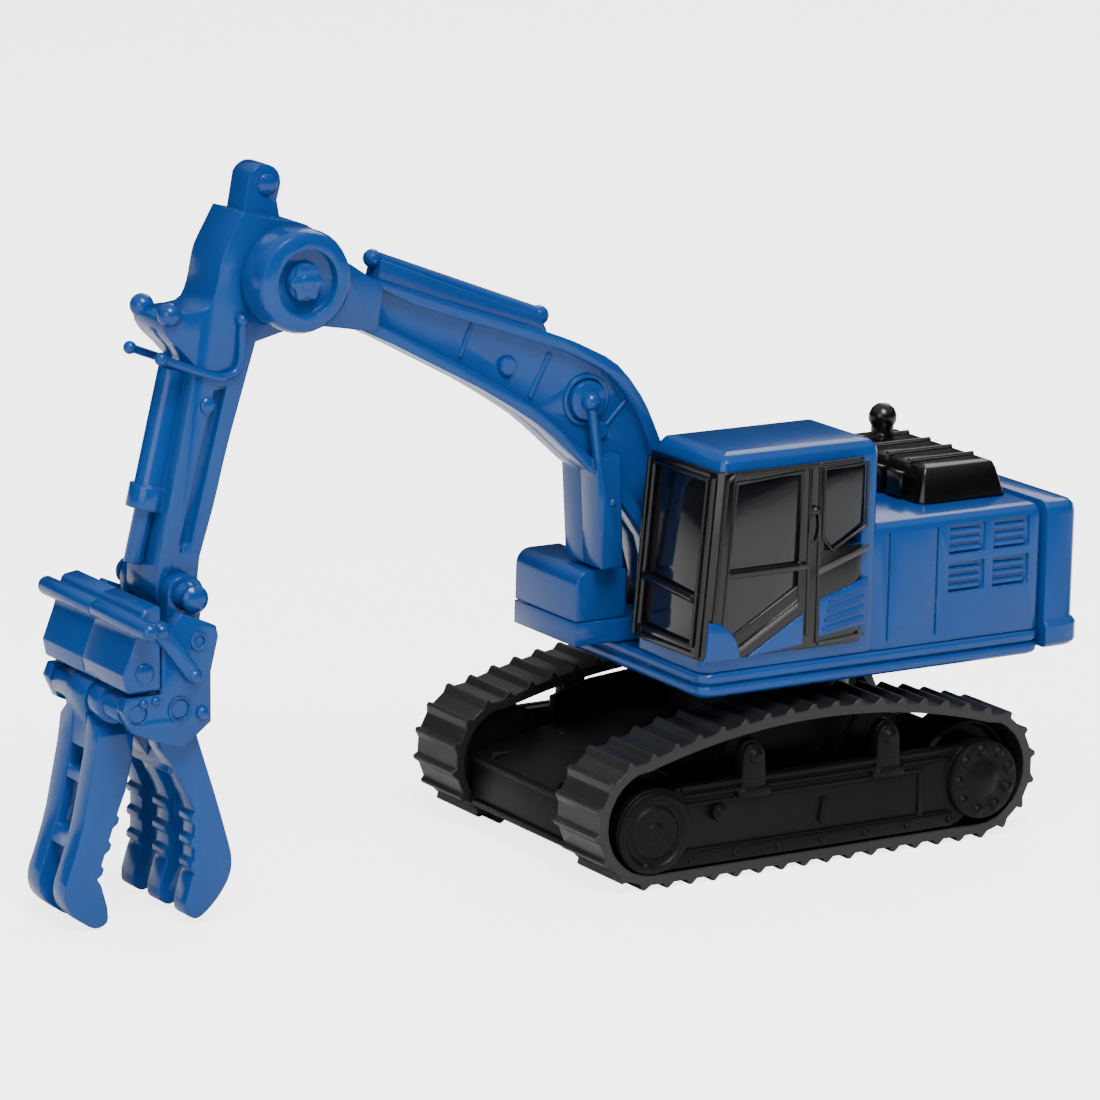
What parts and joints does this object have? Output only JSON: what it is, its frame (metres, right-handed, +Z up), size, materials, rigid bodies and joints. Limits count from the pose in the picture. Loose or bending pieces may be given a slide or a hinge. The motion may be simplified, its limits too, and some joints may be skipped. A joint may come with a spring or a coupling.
{
  "type": "toy excavator with fork grapple",
  "caption": "Small die-cast toy tracked excavator in blue and black, with an enclosed cab, a gooseneck boom and a hinged fork grapple.",
  "frame": {"origin": "centre of the bounding box's bottom face, on the ground under the tracks", "axes": "+Z up, +Y from the arm towards the counterweight along the machine's length, +X towards the cab side"},
  "size_m": [0.0276, 0.0842, 0.0553],
  "materials": {
    "blue_paint": "glossy enamel",
    "black_plastic": "satin moulded",
    "black_rubber": "matte",
    "smoke_glazing": "glossy, dark tint",
    "black_gloss": "semi-gloss",
    "steel": "bright"
  },
  "bodies": {
    "undercarriage": {"undercarriage_frame": "black_plastic", "left_side_frame": "black_plastic", "right_side_frame": "black_plastic", "left_track": "black_rubber", "right_track": "black_rubber", "slew_pin": "steel"},
    "front_wheelset": {"front_axle": "steel", "front_left_wheel": "black_plastic", "front_right_wheel": "black_plastic"},
    "rear_wheelset": {"rear_axle": "steel", "rear_left_wheel": "black_plastic", "rear_right_wheel": "black_plastic"},
    "upper": {"deck_base": "blue_paint", "body_shell": "blue_paint", "window_liner": "smoke_glazing", "cab_frame": "black_gloss", "counterweight": "blue_paint", "engine_hood": "black_gloss", "toolbox": "blue_paint", "boom_bracket": "black_plastic", "boom_foot_pin": "steel", "front_base_screw": "steel", "rear_base_screw": "steel"},
    "boom": {"boom_left_half": "blue_paint", "boom_right_half": "blue_paint", "boom_ridge": "blue_paint", "boom_rivet_1": "blue_paint", "boom_rivet_2": "blue_paint", "arm_pin": "blue_paint"},
    "arm": {"arm": "blue_paint"},
    "grapple_head": {"grapple_bracket": "blue_paint", "grapple_housing": "blue_paint", "head_pin": "blue_paint", "front_jaw_pin": "blue_paint", "rear_jaw_pin": "blue_paint"},
    "front_jaw": {"front_jaw": "blue_paint"},
    "rear_jaw": {"rear_jaw": "blue_paint"}
  },
  "joints": [
    {"name": "swing", "type": "hinge", "parent": "undercarriage", "child": "upper", "pos_m": [0, 0.02014, 0.01402], "axis": [0, 0, 1], "continuous": true},
    {"name": "boom_lift", "type": "hinge", "parent": "upper", "child": "boom", "pos_m": [0, 0.01165, 0.01977], "axis": [-1, 0, 0], "range_deg": [0, 35]},
    {"name": "arm_swing", "type": "hinge", "parent": "boom", "child": "arm", "pos_m": [0, -0.02386, 0.04717], "axis": [-1, 0, 0], "range_deg": [-20, 25]},
    {"name": "head_tilt", "type": "hinge", "parent": "arm", "child": "grapple_head", "pos_m": [0, -0.03266, 0.02457], "axis": [-1, 0, 0], "range_deg": [-20, 12]},
    {"name": "front_jaw_hinge", "type": "hinge", "parent": "grapple_head", "child": "front_jaw", "pos_m": [0, -0.03785, 0.01687], "axis": [-1, 0, 0], "range_deg": [-8, 30]},
    {"name": "rear_jaw_hinge", "type": "hinge", "parent": "grapple_head", "child": "rear_jaw", "pos_m": [0, -0.03445, 0.01687], "axis": [-1, 0, 0], "range_deg": [-30, 8]},
    {"name": "front_wheels_spin", "type": "hinge", "parent": "undercarriage", "child": "front_wheelset", "pos_m": [0, 0.00215, 0.00531], "axis": [1, 0, 0], "continuous": true},
    {"name": "rear_wheels_spin", "type": "hinge", "parent": "undercarriage", "child": "rear_wheelset", "pos_m": [0, 0.03214, 0.00531], "axis": [1, 0, 0], "continuous": true}
  ],
  "couplings": [
    {"joint": "rear_jaw_hinge", "follows": "front_jaw_hinge", "ratio": -1}
  ]
}
